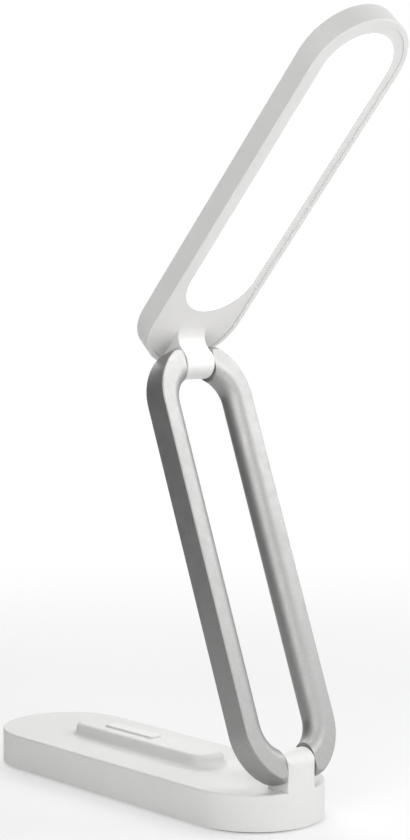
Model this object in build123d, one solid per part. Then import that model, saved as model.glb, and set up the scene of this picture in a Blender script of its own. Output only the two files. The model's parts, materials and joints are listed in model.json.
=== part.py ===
from build123d import *
import os
from math import cos, radians, sin, sqrt

# Folding LED desk lamp in three slim oblong sections: a base with a battery, a looped arm made of two
# hollow legs, and a flat light head. Two friction hinges join them, one on the base's tab and one on the
# head's knuckle, so that the three sections fold together into one bar.
# Frame: +Z up, origin on the desk under the middle of the base, the base's hinge end towards +X.
# All sizes are millimetres and degrees.

# Pose in which the lamp is drawn
ARM_LEAN = 21.0        # arm behind the upright, towards -X
HEAD_LEAN = 43.0       # head in front of the upright, towards +X

# Base housing
BASE_L = 193.6
BASE_W = 61.5
BASE_H = 16.6          # desk to top face
BASE_WALL = 1.8
BASE_TOP = 2.0         # thickness of the top wall
BASE_EDGE = 0.9        # rounding of the top rim
PAD_T = 1.0            # anti-slip pad under the bottom cover
PAD_INSET = 2.6
COVER_T = 1.8
FIT = 0.15             # clearance round an inserted cover, key or lens

# Raised island along the base's top, and the touch key let into it
ISLAND_L = 94.0
ISLAND_W = 18.0
ISLAND_H = 5.8
ISLAND_X = -5.2
ISLAND_R = 8.0
ISLAND_COVE = 3.0
ISLAND_EDGE = 2.6
KEY_L = 34.0
KEY_W = 6.4
KEY_X = -16.2
KEY_R = 1.5
KEY_SUNK = 0.8
KEY_RISE = 0.9
KEY_EDGE = 0.35

# Hinges: tab on the base, knuckle on the head, collared hollow pins fixed in the arm
HINGE_INSET = 7.0      # lower axis from the base's end
HINGE_RISE = 9.6       # lower axis above the base's top
TAB_W = 15.6           # width of the tab and of the knuckle
BARREL_R = 6.9
PIN_R = 2.5
PIN_BORE = 1.3
PIN_FIT = 0.05         # running clearance of the pin in its bush
PIN_SEAT = 0.03        # clearance of the pin in the arm's seats
PIN_TAIL = 2.6         # flatted end of the pin beyond its collar
PIN_FLAT = 1.9         # half thickness across the flats
PIN_WINDOW = 3.0       # width of the slot that lets the lead into the pin
LOWER_WINDOW = 45.0    # turn of the slot, half way through each hinge's swing
UPPER_WINDOW = -120.0
COLLAR_R = 4.0
COLLAR_T = 1.6
COLLAR_WALL = 1.2      # arm material between the washer and the collar
BUSH_WALL = 1.4
BUSH_FIT = 0.02
WASHER_T = 0.5
WASHER_INSET = 0.9     # washer edge inside the barrel's edge
RUN_GAP = 0.05         # clearance between a washer and the turning tab

# Arm: two hollow legs, each of a front and a rear half shell
ARM_SPAN = 180.0       # between the hinge axes
ARM_END = 8.2          # arm beyond each axis
ARM_W = 51.2
ARM_T = 12.2
LEG_W = 11.2
OPEN_FLAT = 4.8        # straight stretch in the middle of the opening's ends
INNER_LAND = 0.8       # flat left between the two roundings of the inner edges
ARM_EDGE = 0.6
ARM_WALL = 1.8
END_LEDGE = 0.7        # arm's end rounding, beyond the barrel's radius
ARM_SCREW_IN = 50.0    # screws from each hinge axis
ARM_BOSS_R = 2.2
ARM_BOSS_SET = 0.8     # screw bosses let into the outer wall

# Head housing
HEAD_L = 190.6
HEAD_W = 50.0
HEAD_T = 10.5
HEAD_END = 9.1         # head beyond the upper axis
HEAD_GAP = 9.1         # upper axis to the head's front rim
HEAD_BACK = 1.8
HEAD_EDGE = 1.1
RIM_W = 2.4
RIM_EDGE = 0.5
RIM_STEP = 0.5         # front frame below the rim
FRAME_T = 1.8
FRAME_FIT = 0.08       # round the front frame in its rim
SEAT_W = 1.2           # ledge that carries the front frame
NECK_COVE = 6.4        # cove between the knuckle and the head's face
NECK_SINK = 0.05       # cove's foot under the face, so that it ends in a crisp line
BARREL_EDGE = 0.5      # rounding of the tab's and knuckle's ends
HEAD_SCREW_TURN = 52.0  # screws round the head's hinge end, from its middle line
HEAD_BOSS_R = 3.0
HEAD_BOSS_ROOM = 0.4   # screw bosses from the tray's wall
SHELL_BOSS_H = 2.0

# Light stack behind the front frame
LENS_FAR = 7.5         # lit lens from the head's far end
LENS_NEAR = 32.1       # lit lens from the head's hinge end
LENS_SIDE = 7.0
LENS_PROUD = 0.2
LENS_FLANGE = 1.8
LENS_FLANGE_T = 1.0
GUIDE_T = 2.5
SHEET_T = 0.4
STRIP_T = 1.0
STRIP_H = 3.0
STRIP_SHORT = 3.0      # strip ends before the lens's straight stretch ends
LED_T = 0.9
LED_L = 3.0
LED_H = 1.8
LED_GAP = 0.1
LEDS_PER_STRIP = 14
RIB_T = 1.2
RIBS = 6

# Inside the base
BOSS_R = 3.2
BOSS_INSET = 5.4       # cover bosses from the inside of the wall
POST_R = 2.2
POST_H = 4.2           # board hangs this far under the top wall
POST_INSET = 2.6
BOARD_L = 80.0
BOARD_W = 26.0
BOARD_T = 1.2
BOARD_R = 1.5
BOARD_ROOM = 0.5       # board's corners from the end wall
COIL_R = 3.2           # driver coil under the board
COIL_H = 1.7
COIL_Y = 5.0
CHIP_L = 6.5
CHIP_W = 5.2
CHIP_H = 0.9
CHIP_R = 0.3
CHIP_Y = -3.3
CHIP_PITCH = 26.0
SOCKET_W = 8.9
SOCKET_H = 3.2
SOCKET_L = 7.4
SOCKET_SKIN = 0.4
SOCKET_BACK = 1.2
SOCKET_RECESS = 0.7    # socket mouth behind the base's end
TONGUE_W = 6.6
TONGUE_T = 0.7
FOAM_L = 14.0
FOAM_W = 6.0
FOAM_INSET = 4.0       # foam from the board's inner end
BALLAST_L = 112.0
BALLAST_W = 34.0
BALLAST_T = 3.0
BALLAST_R = 4.0
BALLAST_X = -4.0
BATTERY_L = 54.0
BATTERY_W = 30.0
BATTERY_T = 7.4
BATTERY_GAP = 13.0     # battery from the board's end
BATTERY_R = 2.0

# Leads and screws
LEAD_R = 0.9
LEAD_ROOM = 0.5        # round a lead in its hole
BASE_LEAD_BENDS = [5.0, 8.0, 12.0, 3.0]
LEG_LEAD_BENDS = [2.2, 20.0, 20.0, 2.2]
HEAD_LEAD_R = 0.6
HEAD_LEAD_SPLIT = 0.75  # each of the head's two wires from the middle line, in the knuckle
HEAD_LEAD_FORK = 2.2    # and where the wires part behind the screw bosses
HEAD_LEAD_BENDS = [1.5, 6.0, 8.0]
SCREW_R = 1.0
SCREW_HEAD_R = 1.9
SCREW_HEAD_H = 1.1
SCREW_FIT = 0.2        # round a screw in its clearance hole
THREAD_FIT = 0.02      # round a screw in its pilot hole
PILOT_SPARE = 0.6      # pilot hole beyond the screw's tip

# Values worked out from the sizes above
HINGE_X = BASE_L / 2 - HINGE_INSET
HINGE_Z = BASE_H + HINGE_RISE
CEILING = BASE_H - BASE_TOP
COVER_TOP = PAD_T + COVER_T
BALLAST_TOP = COVER_TOP + BALLAST_T
BOARD_TOP = CEILING - POST_H
ISLAND_TOP = BASE_H + ISLAND_H
CAVITY_L = BASE_L - 2 * BASE_WALL
CAVITY_W = BASE_W - 2 * BASE_WALL
BOSS_X = (BASE_L - BASE_W) / 2
BOSS_Y = CAVITY_W / 2 - BOSS_INSET
SOCKET_MOUTH = SOCKET_RECESS - BASE_L / 2
BOARD_START = BOARD_ROOM - BOSS_X - sqrt((CAVITY_W / 2) ** 2 - (BOARD_W / 2) ** 2)
BOARD_X = BOARD_START + BOARD_L / 2
BOARD_END = BOARD_START + BOARD_L
BATTERY_X = BOARD_END + BATTERY_GAP + BATTERY_L / 2
BUSH_R = PIN_R + PIN_FIT + BUSH_WALL
WIRE_R = LEAD_R + LEAD_ROOM
NOTCH_W = TAB_W + 2 * (RUN_GAP + WASHER_T)
COLLAR_Y = NOTCH_W / 2 + COLLAR_WALL
PIN_HALF = COLLAR_Y + COLLAR_T + PIN_TAIL
END_R = BARREL_R + END_LEDGE
TIP_EDGE = END_R - ARM_T / 2
OPEN_L = ARM_SPAN - 2 * BARREL_R
OPEN_W = ARM_W - 2 * LEG_W
OPEN_R = (OPEN_W - OPEN_FLAT) / 2
INNER_R = (ARM_T - INNER_LAND) / 2
ARM_BOSS_Y = ARM_W / 2 - ARM_WALL - ARM_BOSS_R + ARM_BOSS_SET
LEG_LEAD_Y = OPEN_W / 2 + ARM_WALL + LEAD_R + LEAD_ROOM
HEAD_X = HEAD_L / 2 - HEAD_END
FACE_Z = -HEAD_GAP - RIM_STEP
SEAT_Z = FACE_Z - FRAME_T
FLOOR_Z = HEAD_BACK - HEAD_GAP - HEAD_T
LENS_L = HEAD_L - LENS_FAR - LENS_NEAR
LENS_W = HEAD_W - 2 * LENS_SIDE
LENS_X = LENS_NEAR - HEAD_END + LENS_L / 2
ROOM_INSET = RIM_W + SEAT_W
ROOM_HALF = HEAD_W / 2 - ROOM_INSET
GUIDE_W = 2 * (ROOM_HALF - STRIP_T - LED_T - LED_GAP)
GUIDE_L = LENS_L + GUIDE_W - LENS_W
GUIDE_Z = SEAT_Z - LENS_FLANGE_T - GUIDE_T
SHEET_Z = GUIDE_Z - SHEET_T
STRIP_L = LENS_L - LENS_W - STRIP_SHORT

# Places of the three bodies: x along the section, y across it, z out of its front
ARM_UP = (-sin(radians(ARM_LEAN)), 0, cos(radians(ARM_LEAN)))
ARM_OUT = (cos(radians(ARM_LEAN)), 0, sin(radians(ARM_LEAN)))
HEAD_UP = (sin(radians(HEAD_LEAN)), 0, cos(radians(HEAD_LEAN)))
HEAD_OUT = (cos(radians(HEAD_LEAN)), 0, -sin(radians(HEAD_LEAN)))
LOWER_AXIS = Vector(HINGE_X, 0, HINGE_Z)
UPPER_AXIS = LOWER_AXIS + Vector(*ARM_UP) * ARM_SPAN
ARM_PLACE = Plane(LOWER_AXIS, x_dir=ARM_UP, z_dir=ARM_OUT).location
HEAD_PLACE = Plane(UPPER_AXIS, x_dir=HEAD_UP, z_dir=HEAD_OUT).location


def stadium(length, width, bottom, top, x=0.0):
    """Upright prism with half-round ends, its length along X."""
    return extrude(Pos(x, 0, bottom) * SlotOverall(length, width), top - bottom)


def slab(length, width, radius, bottom, top, x=0.0, y=0.0):
    """Upright prism with a rounded rectangle for its outline."""
    return extrude(Pos(x, y, bottom) * RectangleRounded(length, width, radius), top - bottom)


def block(x0, x1, y0, y1, z0, z1):
    """Box between two corners."""
    return Pos((x0 + x1) / 2, (y0 + y1) / 2, (z0 + z1) / 2) * Box(x1 - x0, y1 - y0, z1 - z0)


def post(radius, x, y, bottom, top):
    """Upright round post."""
    return Pos(x, y, (bottom + top) / 2) * Cylinder(radius, top - bottom)


def crosswise(radius, y0, y1):
    """Round bar along Y, on the local axis."""
    return Pos(0, (y0 + y1) / 2, 0) * Rot(90, 0, 0) * Cylinder(radius, abs(y1 - y0))


def corners(x, y):
    """The four places at plus and minus x and y."""
    return [(a * x, b * y) for a in (-1, 1) for b in (-1, 1)]


def top_edges(solid):
    """Edges of the highest level."""
    return solid.edges().group_by(Axis.Z)[-1]


def side_edges(solid, level):
    """Edges of a tab's two flat sides that lie above a level."""
    sides = [e for e in solid.edges() if abs(abs(e.center().Y) - TAB_W / 2) < BARREL_EDGE / 10]
    return [e for e in sides if e.bounding_box().max.Z > level + BARREL_EDGE]


def tube(points, radii, radius):
    """Round lead along straight runs joined by arcs."""
    path = FilletPolyline(*points, radius=radii)
    return sweep(Plane(path @ 0, z_dir=path % 0) * Circle(radius), path)


def screw(x, y, head, tip):
    """Screw along Z, with its head's outer face and its tip at these levels."""
    under = head + SCREW_HEAD_H if tip > head else head - SCREW_HEAD_H
    shank = post(SCREW_R, x, y, min(under, tip), max(under, tip))
    return shank + post(SCREW_HEAD_R, x, y, min(head, under), max(head, under))


def screw_hole(x, y, head, under, far):
    """Clearance hole with a counterbore for the head, from the head's face to the far face."""
    bore = post(SCREW_R + SCREW_FIT, x, y, min(head, far), max(head, far))
    return bore + post(SCREW_HEAD_R + SCREW_FIT, x, y, min(head, under), max(head, under))


# Base

BOARD_POSTS = [(BOARD_X + x, y) for x, y in corners(BOARD_L / 2 - POST_INSET, BOARD_W / 2 - POST_INSET)]
COVER_TIP = CEILING - POST_H / 2
BOARD_TIP = CEILING - PILOT_SPARE


def hinge_tab():
    """Tongue that stands flush on the base's end wall and is rounded over the hinge axis."""
    stem = block(-BARREL_R, HINGE_INSET, -TAB_W / 2, TAB_W / 2, CEILING - HINGE_Z, 0)
    tab = Pos(HINGE_X, 0, HINGE_Z) * (stem + crosswise(BARREL_R, -TAB_W / 2, TAB_W / 2))
    tab &= stadium(BASE_L, BASE_W, 0, HINGE_Z + BARREL_R)
    return fillet(side_edges(tab, BASE_H), BARREL_EDGE)


def base_outside():
    """Oblong housing with the coved island on its top and the tab at its end."""
    body = stadium(BASE_L, BASE_W, PAD_T, BASE_H)
    body = fillet(top_edges(body), BASE_EDGE)
    body += slab(ISLAND_L, ISLAND_W, ISLAND_R, CEILING, ISLAND_TOP, ISLAND_X)
    body = fillet(top_edges(body), ISLAND_EDGE)
    foot = [e for e in body.edges() if abs(e.center().Z - BASE_H) < ISLAND_EDGE / 4
            and abs(e.center().Y) < ISLAND_W / 2 + ISLAND_COVE / 2
            and abs(e.center().X - ISLAND_X) < ISLAND_L / 2 + ISLAND_COVE / 2]
    body = fillet(foot, ISLAND_COVE)
    return body + hinge_tab()


def base_shell():
    """Upper housing of the base: open below, with bosses for its cover and posts for the board."""
    shell = base_outside() - stadium(CAVITY_L, CAVITY_W, 0, CEILING)
    shell -= slab(ISLAND_L - 2 * BASE_WALL, ISLAND_W - 2 * BASE_WALL, ISLAND_R - BASE_WALL,
                  0, ISLAND_TOP - BASE_TOP, ISLAND_X)
    for x, y in corners(BOSS_X, BOSS_Y):
        shell += post(BOSS_R, x, y, COVER_TOP, BASE_H - BASE_TOP / 2)
        shell -= post(SCREW_R + THREAD_FIT, x, y, COVER_TOP, COVER_TIP + PILOT_SPARE)
    for x, y in BOARD_POSTS:
        shell += post(POST_R, x, y, BOARD_TOP, BASE_H - BASE_TOP / 2)
        shell -= post(SCREW_R + THREAD_FIT, x, y, BOARD_TOP, CEILING)
    shell -= slab(KEY_L + 2 * FIT, KEY_W + 2 * FIT, KEY_R + FIT, ISLAND_TOP - KEY_SUNK, ISLAND_TOP, KEY_X)
    shell -= Pos(HINGE_X, 0, HINGE_Z) * crosswise(BUSH_R + BUSH_FIT, -TAB_W, TAB_W)
    shell -= post(WIRE_R, HINGE_X, 0, CEILING / 2, HINGE_Z)
    return shell - socket_slot(FIT, -BASE_L / 2, SOCKET_L)


def socket_slot(grow, start, length):
    """Bar with the charging socket's oblong section, made larger all round, lying on the board along X."""
    section = SlotOverall(SOCKET_W + 2 * grow, SOCKET_H + 2 * grow)
    return extrude(Pos(start, 0, BOARD_TOP + SOCKET_H / 2) * Rot(0, 90, 0) * Rot(0, 0, 90) * section, length)


def base_bottom_cover():
    """Flat cover inside the housing's lower rim, with counterbored screw holes."""
    cover = stadium(CAVITY_L - 2 * FIT, CAVITY_W - 2 * FIT, PAD_T, COVER_TOP)
    for x, y in corners(BOSS_X, BOSS_Y):
        cover -= screw_hole(x, y, PAD_T, PAD_T + SCREW_HEAD_H, COVER_TOP)
    return cover


def anti_slip_pad():
    """Rubber sheet stuck over the cover and its screws; the lamp stands on it."""
    return stadium(BASE_L - 2 * PAD_INSET, BASE_W - 2 * PAD_INSET, 0, PAD_T)


def ballast_plate():
    """Steel plate that keeps the base down."""
    plate = slab(BALLAST_L, BALLAST_W, BALLAST_R, COVER_TOP, BALLAST_TOP, BALLAST_X)
    return chamfer(top_edges(plate), BALLAST_T / 6)


def battery_pack():
    """Flat rechargeable cell stuck to the ballast plate."""
    cell = slab(BATTERY_L, BATTERY_W, BATTERY_R, BALLAST_TOP, BALLAST_TOP + BATTERY_T, BATTERY_X)
    return fillet(top_edges(cell), BATTERY_R / 2)


def control_board():
    """Circuit board screwed under the top wall, with its driver coil and chips underneath."""
    under = BOARD_TOP - BOARD_T
    board = slab(BOARD_L, BOARD_W, BOARD_R, under, BOARD_TOP, BOARD_X)
    for x, y in BOARD_POSTS:
        board -= post(SCREW_R + SCREW_FIT, x, y, under, BOARD_TOP)
    board += post(COIL_R, BOARD_X, COIL_Y, under - COIL_H, under)
    for side in (-1, 1):
        x = BOARD_X + side * CHIP_PITCH / 2
        board += slab(CHIP_L, CHIP_W, CHIP_R, under - CHIP_H, under, x, CHIP_Y)
    return board


def charging_socket():
    """Pressed metal inlet with its contact tongue, soldered on the board's end."""
    middle = BOARD_TOP + SOCKET_H / 2
    can = socket_slot(0, SOCKET_MOUTH, SOCKET_L)
    can -= socket_slot(-SOCKET_SKIN, SOCKET_MOUTH, SOCKET_L - SOCKET_BACK)
    tongue = block(SOCKET_MOUTH + SOCKET_RECESS, SOCKET_MOUTH + SOCKET_L - SOCKET_BACK / 2, -TONGUE_W / 2,
                   TONGUE_W / 2, middle - TONGUE_T / 2, middle + TONGUE_T / 2)
    return can + tongue


def touch_key():
    """Thin oblong key let into the island."""
    key = slab(KEY_L, KEY_W, KEY_R, ISLAND_TOP - KEY_SUNK, ISLAND_TOP + KEY_RISE, KEY_X)
    return fillet(top_edges(key), KEY_EDGE)


def touch_foam():
    """Conductive foam pillar from the board to the underside of the island, below the key."""
    end = BOARD_END - FOAM_INSET
    return block(end - FOAM_L, end, -FOAM_W / 2, FOAM_W / 2, BOARD_TOP, ISLAND_TOP - BASE_TOP)


def base_screws():
    """Four screws that hold the bottom cover."""
    return [screw(x, y, PAD_T, COVER_TIP) for x, y in corners(BOSS_X, BOSS_Y)]


def board_screws():
    """Four screws that hold the board on its posts."""
    return [screw(x, y, BOARD_TOP - BOARD_T - SCREW_HEAD_H, BOARD_TIP) for x, y in BOARD_POSTS]


def base_lead():
    """Lead from the board, past the battery and up through the tab to the lower pin."""
    level = BOARD_TOP + LEAD_R
    start = -FOAM_W / 2 - 3 * LEAD_R
    side = -BATTERY_W / 2 - LEAD_R - LEAD_ROOM
    near = BATTERY_X - BATTERY_L / 2
    points = [(BOARD_END - BATTERY_GAP / 2, start, level), (BOARD_END, start, level), (near, side, level),
              (near + BATTERY_L, side, level), (HINGE_X, 0, level), (HINGE_X, 0, HINGE_Z - PIN_R - LEAD_R)]
    return tube(points, BASE_LEAD_BENDS, LEAD_R)


# Hinge pieces, drawn about the hinge axis


def hinge_bush():
    """Sleeve pressed into a barrel, pierced below for the lead."""
    sleeve = crosswise(BUSH_R, -TAB_W / 2, TAB_W / 2) - crosswise(PIN_R + PIN_FIT, -TAB_W, TAB_W)
    return sleeve - post(WIRE_R, 0, 0, -2 * BUSH_R, 0)


def pin_outside(spare):
    """Collared pin with flatted tails, or the seat for it where spare is its clearance."""
    tail = PIN_HALF + spare
    shaft = crosswise(PIN_R + spare, -tail, tail)
    reach = 2 * PIN_R
    for side in (-1, 1):
        flat_start = side * (COLLAR_Y + COLLAR_T)
        for face in (-1, 1):
            z0, z1 = sorted((face * (PIN_FLAT + spare), face * reach))
            shaft -= block(-reach, reach, *sorted((flat_start, 2 * side * tail)), z0, z1)
        shaft += crosswise(COLLAR_R + spare, side * (COLLAR_Y - spare), side * (COLLAR_Y + COLLAR_T + spare))
    return shaft


def hinge_pin(at, window):
    """Hollow pin fixed in the arm's seats, with a window in its middle where the lead comes in."""
    pin = pin_outside(0) - crosswise(PIN_BORE, -ARM_W, ARM_W)
    reach = 2 * PIN_R
    slot = block(-reach, reach, -PIN_WINDOW / 2, PIN_WINDOW / 2, -reach, PIN_BORE / 2)
    return Pos(at, 0, 0) * (pin - Rot(0, window, 0) * slot)


def washers(at):
    """Two friction washers, one on each side of the tab or knuckle."""
    ring = crosswise(BARREL_R - WASHER_INSET, 0, WASHER_T)
    ring -= crosswise(PIN_R + PIN_FIT, -WASHER_T, 2 * WASHER_T)
    out = TAB_W / 2 + RUN_GAP
    return [Pos(at, y, 0) * ring for y in (out, -out - WASHER_T)]


# Arm


def leg_ends():
    """Round bars about a hinge axis that shape the ends of both legs, with rounded tips beside the notch."""
    bar = crosswise(END_R, NOTCH_W / 2, ARM_W)
    tip = [e for e in bar.edges().filter_by(GeomType.CIRCLE) if e.center().Y < NOTCH_W]
    bar = fillet(tip, TIP_EDGE)
    return bar + mirror(bar, Plane.XZ)


def arm_loop():
    """Whole loop: flat outside with crisp edges, round inside, cut through by the two hinge notches."""
    middle = ARM_SPAN / 2
    loop = stadium(ARM_SPAN + 2 * ARM_END, ARM_W, -ARM_T / 2, ARM_T / 2, middle)
    loop = fillet(loop.edges().group_by(Axis.Z)[0] + loop.edges().group_by(Axis.Z)[-1], ARM_EDGE)
    loop -= slab(OPEN_L, OPEN_W, OPEN_R, -ARM_T, ARM_T, middle)
    rims = [f.inner_wires()[0].edges() for f in loop.faces().filter_by(Plane.XY) if f.inner_wires()]
    loop = fillet(rims[0] + rims[1], INNER_R)
    for axis, side in ((0, -1), (ARM_SPAN, 1)):
        ends = sorted((axis, axis + side * 2 * ARM_END))
        waste = block(*ends, -ARM_W, ARM_W, -ARM_T, ARM_T)
        loop -= waste - Pos(axis, 0, 0) * leg_ends()
        loop -= block(axis - 2 * ARM_END, axis + 2 * ARM_END, -NOTCH_W / 2, NOTCH_W / 2, -ARM_T, ARM_T)
    return loop


def arm_hollow():
    """Channel inside both legs, stopped before the solid seats of the pins."""
    middle = ARM_SPAN / 2
    depth = ARM_T / 2 - ARM_WALL
    hollow = stadium(ARM_SPAN + 2 * (ARM_END - ARM_WALL), ARM_W - 2 * ARM_WALL, -depth, depth, middle)
    hollow -= slab(OPEN_L + 2 * ARM_WALL, OPEN_W + 2 * ARM_WALL, OPEN_R + ARM_WALL, -ARM_T, ARM_T, middle)
    rims = [f.inner_wires()[0].edges() for f in hollow.faces().filter_by(Plane.XY) if f.inner_wires()]
    hollow = fillet(rims[0] + rims[1], INNER_R - ARM_WALL)
    seat = PIN_HALF + PIN_SEAT + LEAD_ROOM
    for axis in (0, ARM_SPAN):
        hollow -= block(axis - 2 * ARM_END, axis + OPEN_R, -seat, seat, -ARM_T, ARM_T)
    return hollow


def leg_lead_path():
    """Points of the lead in the leg: out of the lower pin, along the channel and into the upper pin."""
    turn = PIN_HALF + LEAD_R
    bend = ARM_END + LEG_W
    return [(0, NOTCH_W / 4, 0), (0, turn, 0), (bend, LEG_LEAD_Y, 0), (ARM_SPAN - bend, LEG_LEAD_Y, 0),
            (ARM_SPAN, turn, 0), (ARM_SPAN, NOTCH_W / 4, 0)]


ARM_SCREWS = [(x, y) for x in (ARM_SCREW_IN, ARM_SPAN - ARM_SCREW_IN) for y in (-ARM_BOSS_Y, ARM_BOSS_Y)]
ARM_HEAD = -ARM_T / 2
ARM_TIP = ARM_T / 2 - ARM_WALL


def arm_shells():
    """The four half shells, by name, with their screw bosses and pin seats."""
    body = arm_loop() - arm_hollow()
    for x, y in ARM_SCREWS:
        body += post(ARM_BOSS_R, x, y, -ARM_T / 2 + ARM_WALL / 2, ARM_T / 2 - ARM_WALL / 2)
        body -= screw_hole(x, y, ARM_HEAD, ARM_HEAD + SCREW_HEAD_H, 0)
        body -= post(SCREW_R + THREAD_FIT, x, y, 0, ARM_TIP)
    for axis in (0, ARM_SPAN):
        body -= Pos(axis, 0, 0) * pin_outside(PIN_SEAT)
    body -= tube(leg_lead_path(), LEG_LEAD_BENDS, LEAD_R + LEAD_ROOM / 2)
    far = 2 * ARM_SPAN
    shells = {}
    for leg, across in (("left", (0, ARM_W)), ("right", (-ARM_W, 0))):
        for half, depth in (("front", (0, ARM_T)), ("rear", (-ARM_T, 0))):
            shells[f"arm_{leg}_{half}"] = body & block(-far, far, *across, *depth)
    return shells


def arm_screws():
    """Four screws from the rear that join the half shells."""
    return [screw(x, y, ARM_HEAD, ARM_TIP - PILOT_SPARE) for x, y in ARM_SCREWS]


def arm_lead():
    """Lead through the left leg."""
    return tube(leg_lead_path(), LEG_LEAD_BENDS, LEAD_R)


# Head

HEAD_TURN_X = HEAD_W / 2 - HEAD_END
HEAD_SCREW_OUT = ROOM_HALF - HEAD_BOSS_R - HEAD_BOSS_ROOM
HEAD_SCREW_X = HEAD_TURN_X - HEAD_SCREW_OUT * cos(radians(HEAD_SCREW_TURN))
HEAD_SCREW_Y = HEAD_SCREW_OUT * sin(radians(HEAD_SCREW_TURN))
HEAD_SCREWS = [(HEAD_SCREW_X, -HEAD_SCREW_Y), (HEAD_SCREW_X, HEAD_SCREW_Y)]
HEAD_BACK_Z = FLOOR_Z - HEAD_BACK
BOSS_MEET_Z = FLOOR_Z + SHELL_BOSS_H


def head_stadium(inset, bottom, top):
    """Prism of the head's outline, moved inwards."""
    return stadium(HEAD_L - 2 * inset, HEAD_W - 2 * inset, bottom, top, HEAD_X)


def head_shell():
    """Tray of the head: rim, ledge for the front frame, pressing ribs and two screw bosses."""
    tray = head_stadium(0, HEAD_BACK_Z, -HEAD_GAP)
    tray = fillet(tray.edges().group_by(Axis.Z)[0], HEAD_EDGE)
    tray = fillet(top_edges(tray), RIM_EDGE)
    tray -= head_stadium(RIM_W, SEAT_Z, 0)
    tray -= head_stadium(ROOM_INSET, FLOOR_Z, 0)
    pitch = (LENS_L - LENS_W) / (RIBS - 1)
    for i in range(RIBS):
        x = LENS_X + (i - (RIBS - 1) / 2) * pitch
        tray += block(x - RIB_T / 2, x + RIB_T / 2, -LENS_W / 2, LENS_W / 2, FLOOR_Z - HEAD_BACK / 2, SHEET_Z)
    for x, y in HEAD_SCREWS:
        tray += post(HEAD_BOSS_R, x, y, FLOOR_Z - HEAD_BACK / 2, BOSS_MEET_Z)
        tray -= screw_hole(x, y, HEAD_BACK_Z, HEAD_BACK_Z + SCREW_HEAD_H, BOSS_MEET_Z)
    return tray


def knuckle():
    """Barrel round the upper axis on a neck that runs out into the head's face in a cove."""
    rear = HEAD_TURN_X - sqrt((HEAD_W / 2 - RIM_W - FRAME_FIT) ** 2 - (TAB_W / 2) ** 2)
    foot = FACE_Z - NECK_SINK
    cove_x = BARREL_R + NECK_COVE
    cove_z = foot + NECK_COVE
    profile = make_face([
        Line((rear, SEAT_Z), (rear, 0)),
        Line((rear, 0), (BARREL_R, 0)),
        Line((BARREL_R, 0), (BARREL_R, cove_z)),
        CenterArc((cove_x, cove_z), NECK_COVE, 180, 90),
        Polyline((cove_x, foot), (cove_x, SEAT_Z), (rear, SEAT_Z)),
    ])
    neck = extrude(Plane.XZ * profile, TAB_W / 2, both=True)
    barrel = neck + crosswise(BARREL_R, -TAB_W / 2, TAB_W / 2)
    crown = [e for e in side_edges(barrel, FACE_Z) if e.bounding_box().max.X > rear + BARREL_EDGE]
    return fillet(crown, BARREL_EDGE)


def head_frame():
    """Front frame of the head: carries the lens and, in one moulding, the knuckle."""
    frame = head_stadium(RIM_W + FRAME_FIT, SEAT_Z, FACE_Z) + knuckle()
    frame -= stadium(LENS_L + 2 * FIT, LENS_W + 2 * FIT, 2 * SEAT_Z, 0, LENS_X)
    for x, y in HEAD_SCREWS:
        frame += post(HEAD_BOSS_R, x, y, BOSS_MEET_Z, SEAT_Z + FRAME_T / 2)
        frame -= post(SCREW_R + THREAD_FIT, x, y, BOSS_MEET_Z, SEAT_Z)
    frame -= crosswise(BUSH_R + BUSH_FIT, -TAB_W, TAB_W)
    return frame - post(WIRE_R, 0, 0, 2 * SEAT_Z, 0)


def diffuser():
    """Opal lens with a flange behind the frame."""
    lens = stadium(LENS_L, LENS_W, SEAT_Z, FACE_Z + LENS_PROUD, LENS_X)
    lens = fillet(top_edges(lens), LENS_PROUD)
    grow = 2 * LENS_FLANGE
    return lens + stadium(LENS_L + grow, LENS_W + grow, SEAT_Z - LENS_FLANGE_T, SEAT_Z, LENS_X)


def light_guide():
    """Clear plate, lit from both long edges."""
    return stadium(GUIDE_L, GUIDE_W, GUIDE_Z, GUIDE_Z + GUIDE_T, LENS_X)


def reflector_sheet():
    """White sheet behind the light guide."""
    return stadium(GUIDE_L, GUIDE_W, SHEET_Z, GUIDE_Z, LENS_X)


def led_strip(side):
    """Narrow board stuck to the tray's long wall."""
    y0, y1 = sorted((side * ROOM_HALF, side * (ROOM_HALF - STRIP_T)))
    top = GUIDE_Z + GUIDE_T
    return block(LENS_X - STRIP_L / 2, LENS_X + STRIP_L / 2, y0, y1, top - STRIP_H, top)


def leds():
    """Two rows of small white diodes, facing the edges of the light guide."""
    pitch = STRIP_L / LEDS_PER_STRIP
    middle = GUIDE_Z + GUIDE_T / 2
    row = []
    for side in (-1, 1):
        y0, y1 = sorted((side * (ROOM_HALF - STRIP_T), side * (ROOM_HALF - STRIP_T - LED_T)))
        for i in range(LEDS_PER_STRIP):
            x = LENS_X + (i - (LEDS_PER_STRIP - 1) / 2) * pitch
            row.append(block(x - LED_L / 2, x + LED_L / 2, y0, y1, middle - LED_H / 2, middle + LED_H / 2))
    return row


def head_screws():
    """Two screws from the back, beside the knuckle."""
    return [screw(x, y, HEAD_BACK_Z, SEAT_Z - PILOT_SPARE) for x, y in HEAD_SCREWS]


def head_lead():
    """Two wires from the upper pin through the knuckle, one to each strip."""
    level = SEAT_Z - LENS_FLANGE_T - STRIP_H / 2
    wires = []
    for side in (-1, 1):
        y = side * HEAD_LEAD_SPLIT
        edge = side * (ROOM_HALF - HEAD_LEAD_R)
        near = HEAD_SCREW_X + HEAD_BOSS_R + SCREW_HEAD_R
        points = [(0, y, -PIN_R - LEAD_R), (0, y, level), (near, side * HEAD_LEAD_FORK, level),
                  (near + ROOM_HALF / 2, edge, level), (LENS_X - STRIP_L / 2, edge, level)]
        wires.append(tube(points, HEAD_LEAD_BENDS, HEAD_LEAD_R))
    return wires


# Assembly: every node of each body, in its place

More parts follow.
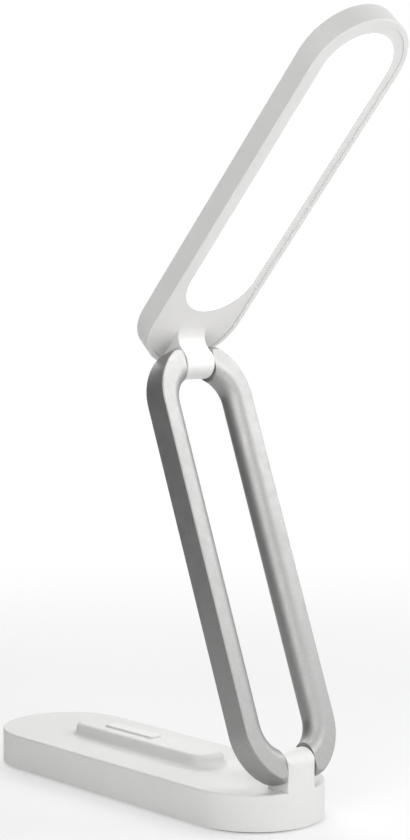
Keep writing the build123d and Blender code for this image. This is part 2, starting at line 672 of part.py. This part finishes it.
base = {
    "base_shell": base_shell(),
    "base_bottom_cover": base_bottom_cover(),
    "anti_slip_pad": anti_slip_pad(),
    "ballast_plate": ballast_plate(),
    "battery_pack": battery_pack(),
    "control_board": control_board(),
    "charging_socket": charging_socket(),
    "touch_key": touch_key(),
    "touch_foam": touch_foam(),
    "base_screws": base_screws(),
    "board_screws": board_screws(),
    "base_lead": base_lead(),
    "tab_bush": Pos(HINGE_X, 0, HINGE_Z) * hinge_bush(),
}
arm = arm_shells()
arm["lower_hinge_pin"] = hinge_pin(0, LOWER_WINDOW)
arm["upper_hinge_pin"] = hinge_pin(ARM_SPAN, UPPER_WINDOW)
arm["lower_washers"] = washers(0)
arm["upper_washers"] = washers(ARM_SPAN)
arm["arm_screws"] = arm_screws()
arm["arm_lead"] = arm_lead()
head = {
    "head_frame": head_frame(),
    "head_shell": head_shell(),
    "diffuser": diffuser(),
    "light_guide": light_guide(),
    "reflector_sheet": reflector_sheet(),
    "led_strip_left": led_strip(1),
    "led_strip_right": led_strip(-1),
    "leds": leds(),
    "head_screws": head_screws(),
    "head_lead": head_lead(),
    "knuckle_bush": hinge_bush(),
}

os.makedirs("parts", exist_ok=True)
for place, nodes in ((Location(), base), (ARM_PLACE, arm), (HEAD_PLACE, head)):
    for name, shape in nodes.items():
        if isinstance(shape, list):
            shape = Compound(children=shape)
        export_step(place * shape, f"parts/{name}.step")
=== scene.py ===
import json
import math

import bmesh
import bpy
from mathutils import Matrix, Vector


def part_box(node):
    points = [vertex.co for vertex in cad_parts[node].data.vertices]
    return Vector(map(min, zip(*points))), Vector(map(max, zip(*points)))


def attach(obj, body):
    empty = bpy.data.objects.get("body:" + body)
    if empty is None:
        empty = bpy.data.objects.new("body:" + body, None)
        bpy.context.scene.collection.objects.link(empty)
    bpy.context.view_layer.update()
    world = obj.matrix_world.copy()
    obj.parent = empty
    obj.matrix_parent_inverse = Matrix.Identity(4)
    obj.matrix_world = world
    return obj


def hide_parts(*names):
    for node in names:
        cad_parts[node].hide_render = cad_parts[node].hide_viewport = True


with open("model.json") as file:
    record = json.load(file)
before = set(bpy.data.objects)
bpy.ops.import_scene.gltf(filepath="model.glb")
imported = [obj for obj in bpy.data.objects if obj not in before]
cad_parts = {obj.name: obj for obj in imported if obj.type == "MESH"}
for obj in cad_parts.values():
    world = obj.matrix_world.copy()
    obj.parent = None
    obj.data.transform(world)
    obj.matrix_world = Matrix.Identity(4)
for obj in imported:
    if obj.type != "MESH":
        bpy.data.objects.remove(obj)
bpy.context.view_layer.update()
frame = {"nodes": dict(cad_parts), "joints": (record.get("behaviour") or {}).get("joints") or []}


# Anti-slip pad
# A die-cut sheet of dark rubber, stuck over the bottom cover and its screws. The lamp stands on it,
# and its edge is the thin dark line along the base's foot.

PAD_BLACK = (0.020, 0.020, 0.021)
PAD_GREY = (0.036, 0.036, 0.037)
PAD_MOTTLE = 0.004
PAD_DIMPLE = 0.0011
PAD_DIMPLE_DEEP = 0.00015
NOISE_LOW = 0.3
NOISE_HIGH = 0.7


def shader_of(finish):
    return finish.node_tree.nodes["Principled BSDF"]


def new_finish(name, roughness, **values):
    """Material with one principled shader. What is the same all over is set on the shader's own sockets."""
    finish = bpy.data.materials.new(name)
    finish.use_nodes = True
    shader = shader_of(finish)
    shader.inputs["Roughness"].default_value = roughness
    for socket, value in values.items():
        shader.inputs[socket.replace("_", " ")].default_value = value
    return finish


def add_node(finish, kind, **values):
    """Node of a finish, with its input values set by name."""
    node = finish.node_tree.nodes.new(kind)
    for socket, value in values.items():
        node.inputs[socket.replace("_", " ")].default_value = value
    return node


def join(finish, output, socket):
    """Leads the output of one node to a socket of another."""
    finish.node_tree.links.new(output, socket)


def place_of(finish):
    """Coordinates in metres that stay with the piece."""
    return add_node(finish, "ShaderNodeTexCoord").outputs["Object"]


def grain(finish, size, detail=2.0):
    """Soft noise with features of about this size in metres."""
    noise = add_node(finish, "ShaderNodeTexNoise", Scale=1 / size, Detail=detail)
    join(finish, place_of(finish), noise.inputs["Vector"])
    return noise.outputs["Fac"]


def cells(finish, size):
    """Small cells of about this size in metres, 0 in the middle of each and higher at its edge."""
    voronoi = add_node(finish, "ShaderNodeTexVoronoi", Scale=1 / size)
    join(finish, place_of(finish), voronoi.inputs["Vector"])
    return voronoi.outputs["Distance"]


def colour_by(finish, pattern, low, high, start=NOISE_LOW, end=NOISE_HIGH):
    """Colours the surface from low to high as a pattern rises from start to end."""
    ramp = add_node(finish, "ShaderNodeValToRGB")
    for stop, position, colour in zip(ramp.color_ramp.elements, (start, end), (low, high)):
        stop.position = position
        stop.color = (*colour, 1)
    join(finish, pattern, ramp.inputs["Fac"])
    join(finish, ramp.outputs["Color"], shader_of(finish).inputs["Base Color"])


def relief_by(finish, pattern, height, strength):
    """Raises the surface by a pattern, by this height in metres."""
    bump = add_node(finish, "ShaderNodeBump", Strength=strength, Distance=height)
    join(finish, pattern, bump.inputs["Height"])
    join(finish, bump.outputs["Normal"], shader_of(finish).inputs["Normal"])


def dress(finish, *nodes):
    """Gives pieces of the frame this finish alone."""
    for name in nodes:
        slots = frame["nodes"][name].data.materials
        slots.clear()
        slots.append(finish)


rubber = new_finish("pad_rubber", roughness=0.85)
colour_by(rubber, grain(rubber, PAD_MOTTLE), PAD_BLACK, PAD_GREY)
relief_by(rubber, cells(rubber, PAD_DIMPLE), PAD_DIMPLE_DEEP, strength=0.6)
dress(rubber, "anti_slip_pad")


# Bottom cover and its screws
# A flat white moulding in the base's lower rim, with the fine grain of an eroded mould. Four small steel
# screws hold it, and the pad covers them.

COVER_LOW = (0.74, 0.74, 0.72)
COVER_HIGH = (0.78, 0.78, 0.76)
TONE_DRIFT = 0.045
SHEEN_DRIFT = 0.006
SHEEN_SPREAD = 0.05
MOULD_GRAIN = 0.00022
MOULD_GRAIN_DEEP = 0.00003
STEEL_GREY = (0.42, 0.425, 0.43)
STEEL_PALE = (0.58, 0.585, 0.59)
STEEL_SPECK = 0.0006
STEEL_RUB = 0.0003


def roughness_by(finish, pattern, low, high):
    """Varies the roughness between two values with a pattern."""
    spread = add_node(finish, "ShaderNodeMapRange", From_Min=NOISE_LOW, From_Max=NOISE_HIGH, To_Min=low,
                      To_Max=high)
    join(finish, pattern, spread.inputs["Value"])
    join(finish, spread.outputs["Result"], shader_of(finish).inputs["Roughness"])


def moulded_white(name, low, high, roughness, strength=0.06):
    """White plastic from a finely eroded mould: a satin skin with a slow drift of tone."""
    finish = new_finish(name, roughness, IOR=1.48)
    colour_by(finish, grain(finish, TONE_DRIFT, detail=3.0), low, high)
    roughness_by(finish, grain(finish, SHEEN_DRIFT, detail=3.0), roughness - SHEEN_SPREAD,
                 roughness + SHEEN_SPREAD)
    relief_by(finish, grain(finish, MOULD_GRAIN), MOULD_GRAIN_DEEP, strength)
    return finish


cover_white = moulded_white("cover_white", COVER_LOW, COVER_HIGH, roughness=0.55)
dress(cover_white, "base_bottom_cover")

screw_steel = new_finish("screw_steel", roughness=0.32, Metallic=1.0)
colour_by(screw_steel, grain(screw_steel, STEEL_SPECK, detail=4.0), STEEL_GREY, STEEL_PALE)
roughness_by(screw_steel, grain(screw_steel, STEEL_RUB), low=0.25, high=0.42)
dress(screw_steel, "base_screws", "board_screws")


# Ballast plate, battery and lead
# A zinc-plated steel plate that keeps the base down, with a flat foil-wrapped cell stuck on it.
# A soft white lead runs past the cell from the board to the hinge.

ZINC_DARK = (0.27, 0.28, 0.29)
ZINC_PALE = (0.40, 0.41, 0.42)
ZINC_CRYSTAL = 0.004
ZINC_RUB = 0.003
FOIL_DARK = (0.50, 0.51, 0.52)
FOIL_PALE = (0.68, 0.69, 0.70)
FOIL_CLOUD = 0.006
FOIL_CREASE = 0.003
FOIL_CREASE_DEEP = 0.0001
JACKET_LOW = (0.66, 0.66, 0.645)
JACKET_HIGH = (0.74, 0.74, 0.725)
JACKET_MOTTLE = 0.003
JACKET_GRAIN = 0.0004
JACKET_GRAIN_DEEP = 0.00004

zinc = new_finish("zinc_plate", roughness=0.45, Metallic=0.9)
colour_by(zinc, cells(zinc, ZINC_CRYSTAL), ZINC_PALE, ZINC_DARK, start=0.0, end=0.9)
roughness_by(zinc, grain(zinc, ZINC_RUB), low=0.38, high=0.55)
dress(zinc, "ballast_plate")

foil = new_finish("battery_foil", roughness=0.36, Metallic=0.8)
colour_by(foil, grain(foil, FOIL_CLOUD, detail=4.0), FOIL_DARK, FOIL_PALE)
relief_by(foil, grain(foil, FOIL_CREASE, detail=3.0), FOIL_CREASE_DEEP, strength=0.35)
dress(foil, "battery_pack")

jacket = new_finish("lead_jacket", roughness=0.5)
colour_by(jacket, grain(jacket, JACKET_MOTTLE), JACKET_LOW, JACKET_HIGH)
relief_by(jacket, grain(jacket, JACKET_GRAIN), JACKET_GRAIN_DEEP, strength=0.2)
dress(jacket, "base_lead", "arm_lead", "head_lead")


# Control board and touch foam
# A green board screwed under the top wall, with paler tracks between its patches of resist. A pillar of
# foam in grey conducting cloth presses up from it under the touch key.

RESIST_GREEN = (0.018, 0.105, 0.045)
TRACK_GREEN = (0.035, 0.165, 0.070)
PATCH_L = 0.0042
PATCH_W = 0.0011
TRACK_W = 0.00018
TRACK_RISE = 0.00003
TRACK_TONES = {"Color1": 0.2, "Color2": 0.6, "Mortar": 1.0}
CLOTH_DARK = (0.10, 0.10, 0.105)
CLOTH_PALE = (0.27, 0.27, 0.275)
CLOTH_THREAD = 0.0004
CLOTH_DEEP = 0.00005

resist = new_finish("board_resist", roughness=0.3, Coat_Weight=0.3)
tracks = add_node(resist, "ShaderNodeTexBrick", Scale=1.0, Mortar_Size=TRACK_W, Brick_Width=PATCH_L,
                  Row_Height=PATCH_W)
for socket, tone in TRACK_TONES.items():
    tracks.inputs[socket].default_value = (tone, tone, tone, 1)
join(resist, place_of(resist), tracks.inputs["Vector"])
colour_by(resist, tracks.outputs["Color"], RESIST_GREEN, TRACK_GREEN, start=TRACK_TONES["Color1"],
          end=TRACK_TONES["Mortar"])
relief_by(resist, tracks.outputs["Color"], TRACK_RISE, strength=0.3)
dress(resist, "control_board")

cloth = new_finish("foam_cloth", roughness=0.7, Metallic=0.3)
weave = add_node(cloth, "ShaderNodeTexChecker", Scale=1 / CLOTH_THREAD)
join(cloth, place_of(cloth), weave.inputs["Vector"])
colour_by(cloth, weave.outputs["Fac"], CLOTH_DARK, CLOTH_PALE, start=0.0, end=1.0)
relief_by(cloth, weave.outputs["Fac"], CLOTH_DEEP, strength=0.5)
dress(cloth, "touch_foam")


# Charging inlet
# A pressed nickel-plated can on the board's end, with a tongue inside. Flat gilt contacts lie in a row
# on both sides of the tongue.

NICKEL_DARK = (0.50, 0.485, 0.46)
NICKEL_PALE = (0.66, 0.65, 0.63)
NICKEL_SPECK = 0.001
NICKEL_RUB = 0.0005
GILT_DEEP = (0.62, 0.41, 0.13)
GILT_PALE = (0.80, 0.60, 0.26)
GILT_SPECK = 0.0004
GILT_RUB = 0.0003
CONTACTS = 6
CONTACT_PITCH = 0.00095
CONTACT_W = 0.00050
CONTACT_L = 0.0036
CONTACT_T = 0.00008
TONGUE_T = 0.0007
TONGUE_INSET = 0.0007
CAN_H = 0.0032

nickel = new_finish("inlet_nickel", roughness=0.22, Metallic=1.0)
colour_by(nickel, grain(nickel, NICKEL_SPECK, detail=4.0), NICKEL_DARK, NICKEL_PALE)
roughness_by(nickel, grain(nickel, NICKEL_RUB), low=0.16, high=0.30)
dress(nickel, "charging_socket")


def thing_of(name, mesh, *finishes):
    """Object from a built mesh, in its finishes."""
    data = bpy.data.meshes.new(name)
    mesh.to_mesh(data)
    mesh.free()
    for finish in finishes:
        data.materials.append(finish)
    thing = bpy.data.objects.new(name, data)
    bpy.context.scene.collection.objects.link(thing)
    return thing


def new_piece(name, mesh, finish, body):
    """Piece of the lamp from a built mesh, riding on a body of the frame."""
    piece = thing_of(name, mesh, finish)
    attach(piece, body)
    return piece


def add_bar(mesh, middle, size, bevel):
    """Bar with softened edges, added to a mesh."""
    place = Matrix.Translation(middle) @ Matrix.Diagonal((*size, 1))
    made = bmesh.ops.create_cube(mesh, size=1.0, matrix=place)
    edges = {edge for vert in made["verts"] for edge in vert.link_edges}
    bmesh.ops.bevel(mesh, geom=list(edges), offset=bevel, segments=2, affect="EDGES")


gilt = new_finish("contact_gilt", roughness=0.25, Metallic=1.0)
colour_by(gilt, grain(gilt, GILT_SPECK, detail=3.0), GILT_DEEP, GILT_PALE)
roughness_by(gilt, grain(gilt, GILT_RUB), low=0.18, high=0.34)

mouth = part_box("charging_socket")[0]
tongue_front = mouth.x + TONGUE_INSET
tongue_z = mouth.z + CAN_H / 2
contacts = bmesh.new()
for side in (-1, 1):
    for i in range(CONTACTS):
        y = (i - (CONTACTS - 1) / 2) * CONTACT_PITCH
        z = tongue_z + side * (TONGUE_T + CONTACT_T) / 2
        middle = Vector((tongue_front + TONGUE_INSET / 2 + CONTACT_L / 2, y, z))
        add_bar(contacts, middle, (CONTACT_L, CONTACT_W, CONTACT_T), CONTACT_T / 4)
new_piece("inlet_contacts", contacts, gilt, "base")


# Base housing and touch key
# A one-piece white moulding with half-round ends, a coved island on its top and the hinge tab at its
# end. The key is a thin glossier white moulding let into the island.

SHELL_LOW = (0.770, 0.772, 0.752)
SHELL_HIGH = (0.805, 0.807, 0.790)
KEY_LOW = (0.83, 0.83, 0.82)
KEY_HIGH = (0.86, 0.86, 0.85)

shell_white = moulded_white("shell_white", SHELL_LOW, SHELL_HIGH, roughness=0.46)
dress(shell_white, "base_shell")

key_white = moulded_white("key_white", KEY_LOW, KEY_HIGH, roughness=0.34, strength=0.02)
dress(key_white, "touch_key")


# Hinge pieces
# Hollow steel pins with collars, fixed in the arm's legs, turn in sleeves of dark bearing plastic.
# A friction washer of the same plastic lies on each side of the tab and of the knuckle.

BEARING_DARK = (0.14, 0.14, 0.14)
BEARING_PALE = (0.19, 0.19, 0.19)
BEARING_MOTTLE = 0.002
BEARING_RUB = 0.001

dress(screw_steel, "lower_hinge_pin", "upper_hinge_pin")

bearing = new_finish("bearing_plastic", roughness=0.42)
colour_by(bearing, grain(bearing, BEARING_MOTTLE), BEARING_DARK, BEARING_PALE)
roughness_by(bearing, grain(bearing, BEARING_RUB), low=0.36, high=0.5)
dress(bearing, "tab_bush", "knuckle_bush", "lower_washers", "upper_washers")


# Looped arm
# Two hollow plastic legs, each of a front and a rear half shell, sprayed with a satin silver lacquer.
# Fine flakes in the lacquer make its grey lively, and its tone follows what it faces.

SILVER_LOW = (0.322, 0.320, 0.318)
SILVER_HIGH = (0.380, 0.378, 0.376)
SILVER_CLOUD = 0.0045
FLAKE = 0.0004
FLAKE_DEEP = 0.00002

silver = new_finish("arm_silver", roughness=0.50, Metallic=0.75)
colour_by(silver, grain(silver, FLAKE, detail=1.0), SILVER_LOW, SILVER_HIGH)
roughness_by(silver, grain(silver, SILVER_CLOUD, detail=3.0), low=0.46, high=0.54)
relief_by(silver, grain(silver, FLAKE), FLAKE_DEEP, strength=0.10)
dress(silver, "arm_left_front", "arm_left_rear", "arm_right_front", "arm_right_rear")


# Arm screws
# Small pan-head steel screws with a cross recess, sunk in the rear shells, that close the legs. Each
# has stopped at its own angle.

SCREW_SIDES = 40
RECESS_W = 0.00055
RECESS_L = 0.0024
RECESS_DEEP = 0.0006
RECESS_TAPER = 0.3
RECESS_TURN = math.radians(22.5)
TURN_STEP = math.radians(54)
HEAD_ROUND = 0.00035
SAME_SPOT = 1e-6
SORT_PLACES = 4

lower_axis = Vector(frame["joints"][0]["pos_m"])
upper_axis = Vector(frame["joints"][1]["pos_m"])
across = Vector((0, 1, 0))
arm_up = (upper_axis - lower_axis).normalized()
arm_out = across.cross(arm_up)


def solids_of(node):
    """The corner points of each separate solid of a node, in order of the solids' middles."""
    mesh = bmesh.new()
    mesh.from_mesh(frame["nodes"][node].data)
    bmesh.ops.remove_doubles(mesh, verts=mesh.verts, dist=SAME_SPOT)
    left = set(mesh.verts)
    found = []
    while left:
        group, reached = set(), [next(iter(left))]
        while reached:
            vert = reached.pop()
            if vert not in group:
                group.add(vert)
                reached += [edge.other_vert(vert) for edge in vert.link_edges]
        left -= group
        found.append([vert.co.copy() for vert in group])
    mesh.free()

    def middle_of(points):
        return [round(v, SORT_PLACES) for v in sum(points, Vector()) / len(points)]

    return sorted(found, key=middle_of)


def lathe(mesh, profile, turn):
    """Closed round solid from (radius, height) points, about Z, moved by a matrix."""
    angles = [2 * math.pi * i / SCREW_SIDES for i in range(SCREW_SIDES)]
    rings = []
    for radius, height in profile:
        if radius == 0:
            rings.append([mesh.verts.new(turn @ Vector((0, 0, height)))])
            continue
        rings.append([mesh.verts.new(turn @ Vector((radius * math.cos(a), radius * math.sin(a), height)))
                      for a in angles])
    for low, high in zip(rings, rings[1:]):
        for i in range(SCREW_SIDES):
            corners = [low[i % len(low)], low[(i + 1) % len(low)], high[(i + 1) % len(high)],
                       high[i % len(high)]]
            mesh.faces.new(list(dict.fromkeys(corners)))


def cross_cutter(mesh, turn):
    """Closed plus-shaped solid about Z, whose four wings draw in towards its deep end, moved by a matrix."""
    rings = []
    for side in (-1, 1):
        wing, half = RECESS_L / 2 * (1 - RECESS_TAPER * side), RECESS_W / 2
        outline = [Matrix.Rotation(math.radians(90 * k), 2) @ Vector(corner) for k in range(4)
                   for corner in ((wing, -half), (wing, half), (half, half))]
        rings.append([mesh.verts.new(turn @ Vector((p.x, p.y, side * RECESS_DEEP))) for p in outline])
    low, high = rings
    mesh.faces.new(low[::-1])
    mesh.faces.new(high)
    for i, vert in enumerate(low):
        after = (i + 1) % len(low)
        mesh.faces.new([vert, low[after], high[after], high[i]])


def cut_by(mesh, cutter):
    """Takes a cutter's solid out of a mesh and returns the new mesh."""
    body = thing_of("body", mesh)
    tool = thing_of("cutter", cutter)
    knife = body.modifiers.new("knife", "BOOLEAN")
    knife.object = tool
    knife.operation = "DIFFERENCE"
    result = bmesh.new()
    result.from_mesh(body.evaluated_get(bpy.context.evaluated_depsgraph_get()).to_mesh())
    for holder in (body, tool):
        bpy.data.objects.remove(holder)
    return result


def cross_screws(name, node, inward, body):
    """Cross-recessed screws in the places of a node's plain ones, pointing inward."""
    turn = inward.to_track_quat("Z", "Y").to_matrix()
    mesh, cutter = bmesh.new(), bmesh.new()
    for number, points in enumerate(solids_of(node)):
        local = [turn.inverted() @ point for point in points]
        low = Vector(map(min, *local))
        high = Vector(map(max, *local))
        axis = ((low.x + high.x) / 2, (low.y + high.y) / 2)
        spot = Matrix.Translation(turn @ Vector((*axis, low.z))) @ turn.to_4x4()
        depth = high.z - low.z
        head_r = (high.x - low.x) / 2
        under = min(p.z for p in local if p.z > low.z + SAME_SPOT) - low.z
        shank_r = max((p.xy - Vector(axis)).length for p in local if p.z > high.z - SAME_SPOT)
        lathe(mesh, [(0, 0), (head_r - HEAD_ROUND, 0), (head_r - HEAD_ROUND / 3, HEAD_ROUND / 3),
                     (head_r, HEAD_ROUND), (head_r, under), (shank_r, under), (shank_r, depth - shank_r),
                     (0, depth)], spot)
        cross_cutter(cutter, spot @ Matrix.Rotation(RECESS_TURN + number * TURN_STEP, 4, "Z"))
    piece = new_piece(name, cut_by(mesh, cutter), screw_steel, body)
    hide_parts(node)


cross_screws("arm_screw_set", "arm_screws", arm_out, "arm")


# Light stack
# Two narrow white boards of diodes on the head's long walls shine into the edges of a clear plate, with
# a white film behind it. All of it is shut in behind the lens.

FILM_LOW = (0.88, 0.88, 0.88)
FILM_HIGH = (0.92, 0.92, 0.92)
STRIP_LOW = (0.78, 0.78, 0.77)
STRIP_HIGH = (0.86, 0.86, 0.85)
PHOSPHOR_DEEP = (0.80, 0.58, 0.12)
PHOSPHOR_PALE = (0.92, 0.76, 0.30)
PHOSPHOR_SPECK = 0.0008
CLEAR_LOW = (0.90, 0.94, 0.94)
CLEAR_HIGH = (0.95, 0.97, 0.97)
CLEAR_DRIFT = 0.01
GUIDE_DOT = 0.0012
GUIDE_DOT_DEEP = 0.00003

film = moulded_white("reflector_film", FILM_LOW, FILM_HIGH, roughness=0.5)
dress(film, "reflector_sheet")

strip_white = moulded_white("strip_white", STRIP_LOW, STRIP_HIGH, roughness=0.4)
dress(strip_white, "led_strip_left", "led_strip_right")

phosphor = new_finish("diode_phosphor", roughness=0.3)
colour_by(phosphor, grain(phosphor, PHOSPHOR_SPECK), PHOSPHOR_DEEP, PHOSPHOR_PALE)
dress(phosphor, "leds")

clear = new_finish("guide_acrylic", roughness=0.08, Transmission_Weight=0.9, IOR=1.49)
colour_by(clear, grain(clear, CLEAR_DRIFT), CLEAR_LOW, CLEAR_HIGH)
relief_by(clear, cells(clear, GUIDE_DOT), GUIDE_DOT_DEEP, strength=0.2)
dress(clear, "light_guide")


# Lit lens
# An opal moulding with a flange behind the front frame, lit from behind by the light guide. It is evenly
# bright but for a narrow dimmer border, where the frame's lip covers the guide.

OPAL_LOW = (0.90, 0.90, 0.89)
OPAL_HIGH = (0.93, 0.93, 0.92)
GLOW = (1.0, 0.985, 0.96, 1)
GLOW_MIDDLE = 7.0
GLOW_EDGE = 0.5
GLOW_BORDER = 0.005
LENS_HALF_W = 0.018
LENS_HALF_RUN = 0.0575
HEAD_LEAN = math.radians(43)

head_up = Vector((math.sin(HEAD_LEAN), 0, math.cos(HEAD_LEAN)))
lens_middle = sum(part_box("diffuser"), Vector()) / 2


def number_step(finish, operation, first, second=None):
    """Works on numbers, led in from other nodes."""
    step = add_node(finish, "ShaderNodeMath")
    step.operation = operation
    join(finish, first, step.inputs[0])
    if second is not None:
        join(finish, second, step.inputs[1])
    return step.outputs["Value"]


def vector_step(finish, operation, first, second=None):
    """Node that works on a vector, led in from another node, and on a fixed vector if one is given."""
    step = add_node(finish, "ShaderNodeVectorMath")
    step.operation = operation
    join(finish, first, step.inputs[0])
    if second is not None:
        step.inputs[1].default_value = second
    return step


def from_spine(finish):
    """Distance from the line in the lens's middle about which its half-round ends are drawn."""
    spot = vector_step(finish, "SUBTRACT", place_of(finish), lens_middle).outputs["Vector"]
    along = vector_step(finish, "DOT_PRODUCT", spot, head_up).outputs["Value"]
    past = add_node(finish, "ShaderNodeMapRange", From_Min=LENS_HALF_RUN, From_Max=2 * LENS_HALF_RUN,
                    To_Max=LENS_HALF_RUN)
    join(finish, number_step(finish, "ABSOLUTE", along), past.inputs["Value"])
    sideways = add_node(finish, "ShaderNodeSeparateXYZ")
    join(finish, spot, sideways.inputs["Vector"])
    flat = add_node(finish, "ShaderNodeCombineXYZ")
    join(finish, past.outputs["Result"], flat.inputs["X"])
    join(finish, sideways.outputs["Y"], flat.inputs["Y"])
    return vector_step(finish, "LENGTH", flat.outputs["Vector"]).outputs["Value"]


opal = moulded_white("opal_lens", OPAL_LOW, OPAL_HIGH, roughness=0.38)
shader_of(opal).inputs["Emission Color"].default_value = GLOW
dimming = add_node(opal, "ShaderNodeMapRange", From_Min=LENS_HALF_W - GLOW_BORDER, From_Max=LENS_HALF_W,
                   To_Min=GLOW_MIDDLE, To_Max=GLOW_EDGE)
join(opal, from_spine(opal), dimming.inputs["Value"])
join(opal, dimming.outputs["Result"], shader_of(opal).inputs["Emission Strength"])
dress(opal, "diffuser")


# Head housing
# A white tray with a thin rim, closed by a front frame of slightly greyer white, which carries the lens
# and, in one moulding, the hinge knuckle. Two screws from the back hold them together.

FACE_LOW = (0.785, 0.780, 0.772)
FACE_HIGH = (0.820, 0.816, 0.808)

head_out = Vector((math.cos(HEAD_LEAN), 0, -math.sin(HEAD_LEAN)))

dress(shell_white, "head_shell")

face_white = moulded_white("face_white", FACE_LOW, FACE_HIGH, roughness=0.42)
dress(face_white, "head_frame")

cross_screws("head_screw_pair", "head_screws", head_out, "head")


# Floor
# A plain white table top under the lamp. It keeps the lamp's soft shade close by, and farther off it
# runs out into the white background.

FLOOR_HALF = 6.0
FLOOR_LOW = (0.93, 0.93, 0.93)
FLOOR_HIGH = (0.95, 0.95, 0.95)
FLOOR_CLOUD = 0.12
FADE_START = 0.25
FADE_END = 0.75
FADE_NEAR = 0.45
WHITE = (1, 1, 1, 1)


def flat_sheet(half):
    """Mesh of a level square, of this half width."""
    mesh = bmesh.new()
    bmesh.ops.create_grid(mesh, x_segments=1, y_segments=1, size=half)
    return mesh


def seen_directly(finish):
    """One for rays that show the background: straight, mirrored or through glass. It serves the room too."""
    path = add_node(finish, "ShaderNodeLightPath")
    total = path.outputs["Is Camera Ray"]
    for ray in ("Is Glossy Ray", "Is Transmission Ray"):
        total = number_step(finish, "MAXIMUM", total, path.outputs[ray])
    return total


table_white = new_finish("table_white", roughness=0.7)
colour_by(table_white, grain(table_white, FLOOR_CLOUD), FLOOR_LOW, FLOOR_HIGH)
fade = add_node(table_white, "ShaderNodeMapRange", From_Min=FADE_START, From_Max=FADE_END, To_Min=FADE_NEAR)
fade.interpolation_type = "SMOOTHSTEP"
from_lamp = vector_step(table_white, "LENGTH", place_of(table_white)).outputs["Value"]
join(table_white, from_lamp, fade.inputs["Value"])
whiteness = number_step(table_white, "MULTIPLY", fade.outputs["Result"], seen_directly(table_white))
white = add_node(table_white, "ShaderNodeEmission", Color=WHITE, Strength=1.0)
blend = add_node(table_white, "ShaderNodeMixShader")
join(table_white, whiteness, blend.inputs["Fac"])
join(table_white, shader_of(table_white).outputs["BSDF"], blend.inputs[1])
join(table_white, white.outputs["Emission"], blend.inputs[2])
surface = table_white.node_tree.nodes["Material Output"].inputs["Surface"]
join(table_white, blend.outputs["Shader"], surface)

floor = thing_of("floor", flat_sheet(FLOOR_HALF), table_white)


# Light
# A white room with four soft boxes: from the front left, from behind and above, low before the hinge end
# and from the front right. A black card at the left, seen only in reflections, darkens the arm's flanks.

AMBIENT = 0.22
LEFT_PLACE = Vector((0.62, -0.95, 0.75))
LEFT_SIZE = 0.9
LEFT_POWER = 6.0
TOP_PLACE = Vector((-0.75, 0.45, 0.95))
TOP_SIZE = 0.9
TOP_POWER = 6.6
LOW_PLACE = Vector((0.62, -0.05, 0.10))
LOW_SIZE = 0.35
LOW_POWER = 0.70
RIGHT_PLACE = Vector((0.44, 0.46, 0.52))
RIGHT_SIZE = 0.4
RIGHT_POWER = 2.1
LIT_MIDDLE = Vector((0.03, 0, 0.17))
CARD_PLACE = Vector((-0.22, -0.20, 0.16))
CARD_HALF = 0.28
CARD_LOW = (0.02, 0.02, 0.02)
CARD_HIGH = (0.03, 0.03, 0.03)
CARD_MOTTLE = 0.02

room = bpy.data.worlds.new("room")
room.use_nodes = True
bpy.context.scene.world = room
backdrop = room.node_tree.nodes["Background"]
backdrop.inputs["Color"].default_value = WHITE
level = add_node(room, "ShaderNodeMapRange", To_Min=AMBIENT, To_Max=1.0)
join(room, seen_directly(room), level.inputs["Value"])
join(room, level.outputs["Result"], backdrop.inputs["Strength"])


def face_middle(thing, place, axis):
    """Puts a thing at a place with an axis towards the lamp's middle, out of the camera's sight."""
    thing.location = place
    thing.rotation_mode = "QUATERNION"
    thing.rotation_quaternion = (LIT_MIDDLE - place).to_track_quat(axis, "Y")
    thing.visible_camera = False


def soft_box(name, place, size, power):
    """Square area lamp that faces the lamp's middle."""
    lamp = bpy.data.lights.new(name, "AREA")
    lamp.size = size
    lamp.energy = power
    box = bpy.data.objects.new(name, lamp)
    bpy.context.scene.collection.objects.link(box)
    face_middle(box, place, "-Z")


soft_box("left_box", LEFT_PLACE, LEFT_SIZE, LEFT_POWER)
soft_box("top_box", TOP_PLACE, TOP_SIZE, TOP_POWER)
soft_box("low_box", LOW_PLACE, LOW_SIZE, LOW_POWER)
soft_box("right_box", RIGHT_PLACE, RIGHT_SIZE, RIGHT_POWER)

card_black = new_finish("card_black", roughness=0.9)
colour_by(card_black, grain(card_black, CARD_MOTTLE), CARD_LOW, CARD_HIGH)
black_card = thing_of("black_card", flat_sheet(CARD_HALF), card_black)
face_middle(black_card, CARD_PLACE, "Z")
black_card.visible_diffuse = False
black_card.visible_shadow = False


# Camera
# Just above the lamp's middle, in front of its hinge end and to its left. A portrait lens from under a
# metre away keeps the near end of the base a little larger than the far one.

VIEW_TARGET = Vector((0.0343, 0, 0.1698))
VIEW_AZIMUTH = math.radians(48.55)
VIEW_ELEVATION = math.radians(4.16)
VIEW_DISTANCE = 0.8713
VIEW_LENS = 85.06
SENSOR = 36.0
CLIP_NEAR = 0.01
CLIP_FAR = 50.0

outwards = Vector((math.sin(VIEW_AZIMUTH), -math.cos(VIEW_AZIMUTH), 0))
back = outwards * math.cos(VIEW_ELEVATION) + Vector((0, 0, math.sin(VIEW_ELEVATION)))
camera = bpy.data.cameras.new("camera")
camera.lens = VIEW_LENS
camera.sensor_width = SENSOR
camera.clip_start = CLIP_NEAR
camera.clip_end = CLIP_FAR
viewer = bpy.data.objects.new("camera", camera)
viewer.location = VIEW_TARGET + back * VIEW_DISTANCE
viewer.rotation_mode = "QUATERNION"
viewer.rotation_quaternion = (-back).to_track_quat("-Z", "Y")
bpy.context.scene.collection.objects.link(viewer)
bpy.context.scene.camera = viewer
bpy.context.scene.view_settings.view_transform = "Standard"
